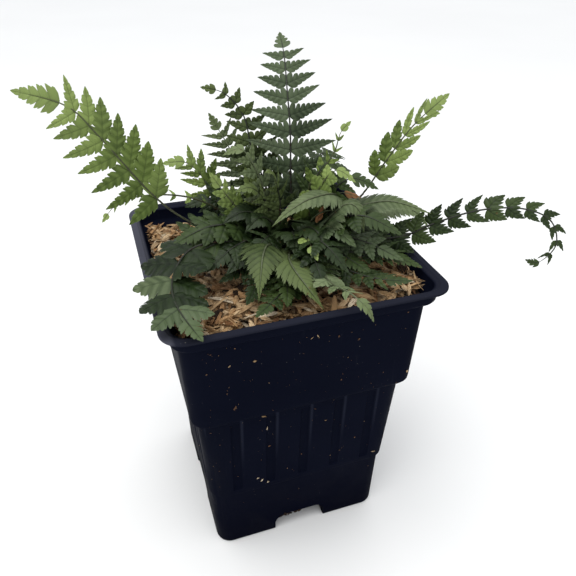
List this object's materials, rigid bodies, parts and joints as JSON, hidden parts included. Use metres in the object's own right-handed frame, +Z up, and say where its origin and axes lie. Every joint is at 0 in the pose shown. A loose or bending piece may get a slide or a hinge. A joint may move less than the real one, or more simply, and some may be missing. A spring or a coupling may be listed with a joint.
{
  "type": "potted fern",
  "caption": "Square tapering black nursery pot filled with growing mix under rice-hull mulch, with a small leathery fern whose toothed fronds stand, arch and hang over the rim.",
  "frame": {"origin": "middle of the flat underside of the pot, on the surface that it stands on", "axes": "+Z up; +X towards the pot's right side and -Y towards its front as the picture shows it, both square to the pot's sides"},
  "size_m": [0.1838, 0.1144, 0.2033],
  "materials": {
    "pot_plastic": "matt, near black with a blue cast",
    "growing_mix": "dark, rough and crumbly",
    "rice_hulls": "straw-coloured chips",
    "rhizome": "dark brown, scaly",
    "mature_leaf": "dark green, slightly glossy",
    "mid_leaf": "grey green, satin",
    "fresh_leaf": "yellow green, satin"
  },
  "bodies": {
    "root": {"crown": "rhizome", "frond_arch_left": "mid_leaf", "frond_arch_right": "mid_leaf", "frond_back_left": "mature_leaf", "frond_back_pale": "mid_leaf", "frond_back_right": "mature_leaf", "frond_front": "mid_leaf", "frond_left": "mature_leaf", "frond_left_back": "fresh_leaf", "frond_left_corner": "mature_leaf", "frond_left_dark": "mature_leaf", "frond_left_low": "mature_leaf", "frond_long_left": "fresh_leaf", "frond_right_droop": "mature_leaf", "frond_right_low": "mature_leaf", "frond_right_mulch": "mature_leaf", "frond_right_pale": "mid_leaf", "frond_right_up": "fresh_leaf", "frond_rim": "mid_leaf", "frond_shade": "mature_leaf", "frond_small_front": "mature_leaf", "frond_star": "mid_leaf", "frond_thin_left": "fresh_leaf", "frond_unfurling": "fresh_leaf", "frond_upright": "mature_leaf", "frond_young_left": "fresh_leaf", "frond_young_mid": "fresh_leaf", "mulch": "rice_hulls", "pot": "pot_plastic", "soil": "growing_mix"}
  },
  "joints": []
}
